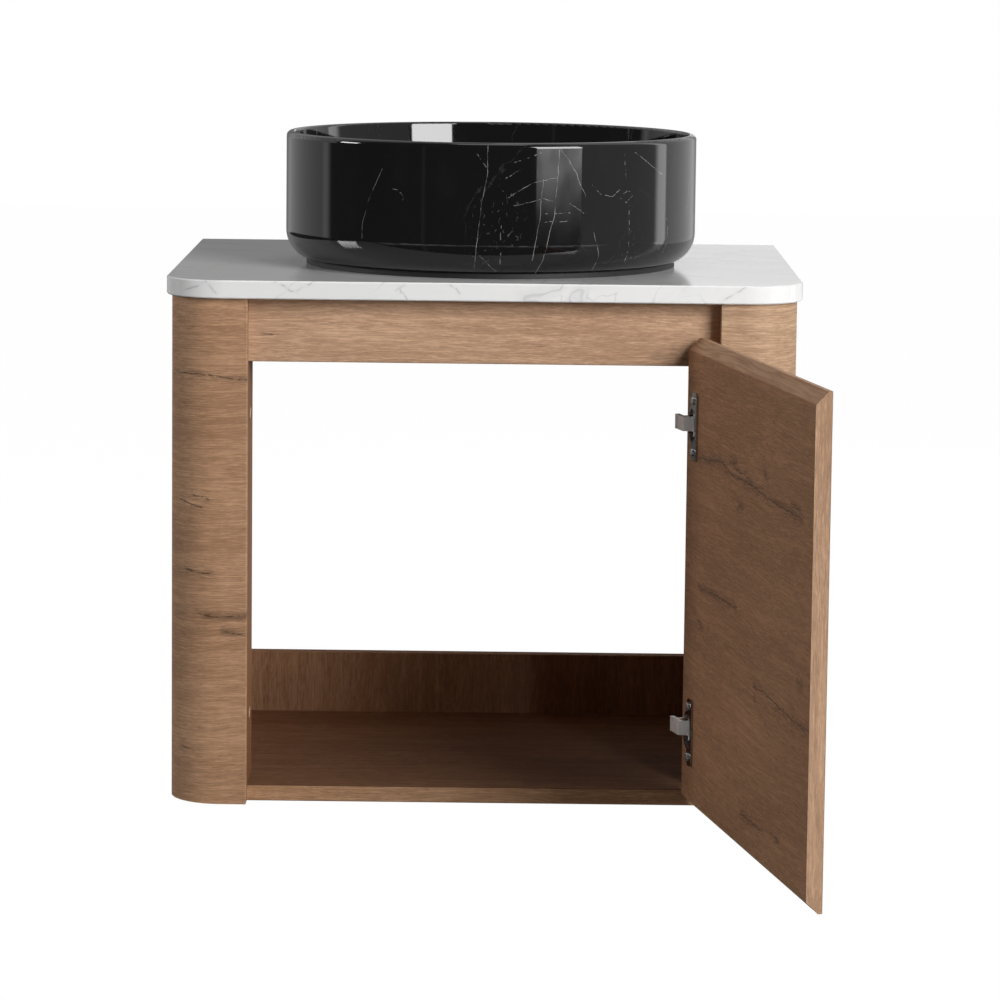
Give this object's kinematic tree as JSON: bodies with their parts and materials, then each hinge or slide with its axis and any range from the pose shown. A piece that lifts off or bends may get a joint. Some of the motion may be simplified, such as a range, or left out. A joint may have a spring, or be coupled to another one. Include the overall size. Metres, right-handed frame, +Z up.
{
  "type": "vessel sink on vanity",
  "caption": "Wall-hung bathroom vanity with a round vessel basin, stone counter, curved wooden corner posts and a side-hung door on concealed cup hinges, shown open.",
  "frame": {"origin": "on the wall, at the middle of the four hanging screws in the upper back rail", "axes": "+X to the right seen from the front, +Y into the wall, so the front faces -Y, +Z up"},
  "size_m": [0.6, 0.9049, 0.627],
  "materials": {
    "oak_board": "open-grained board with a matt, slightly grey-brown oak finish",
    "counter_stone": "polished white stone with faint grey veins",
    "basin_glaze": "gloss black glaze with thin white marble-like veins",
    "sealant": "cured silicone bead",
    "gasket_rubber": "matt moulded rubber",
    "drain_chrome": "polished plating",
    "nut_brass": "plain machined",
    "hinge_steel": "satin nickel plating on pressed steel",
    "screw_steel": "bright zinc plating",
    "dowel_beech": "plain turned beech"
  },
  "bodies": {
    "cabinet": {"countertop": "counter_stone", "basin": "basin_glaze", "basin_sealant": "sealant", "right_side_shell": "oak_board", "left_side_shell": "oak_board", "right_stile": "oak_board", "left_stile": "oak_board", "right_post_formers": "oak_board", "left_post_formers": "oak_board", "front_rail": "oak_board", "bottom_panel": "oak_board", "lower_back_rail": "oak_board", "upper_back_rail": "oak_board", "carcass_dowels": "dowel_beech", "drain_body": "drain_chrome", "drain_top_gasket": "gasket_rubber", "drain_lower_gasket": "gasket_rubber", "drain_lock_nut": "nut_brass", "hinge_mounting_plates": "hinge_steel", "hinge_plate_screws": "screw_steel", "hinge_arms": "hinge_steel", "hinge_arm_screws": "screw_steel", "hinge_arm_pins": "screw_steel"},
    "hinge_links": {"hinge_links": "hinge_steel"},
    "door": {"door_panel": "oak_board", "hinge_cups": "hinge_steel", "hinge_cup_screws": "screw_steel", "hinge_cup_pins": "screw_steel"},
    "plug": {"drain_plug": "drain_chrome", "drain_plug_seal": "gasket_rubber"}
  },
  "joints": [
    {"name": "hinge_link_swing", "type": "hinge", "parent": "cabinet", "child": "hinge_links", "pos_m": [0.183, -0.464, -0.2075], "axis": [0, 0, 1], "range_deg": [0, 36.6]},
    {"name": "door_swing", "type": "hinge", "parent": "hinge_links", "child": "door", "pos_m": [0.19769, -0.48599, -0.2075], "axis": [0, 0, 1], "range_deg": [-138.18, 0]},
    {"name": "plug_lift", "type": "slide", "parent": "cabinet", "child": "plug", "axis": [0, 0, 1], "range_m": [0, 0.01]}
  ],
  "couplings": [
    {"joint": "hinge_link_swing", "follows": "door_swing", "ratio": -0.26471}
  ]
}
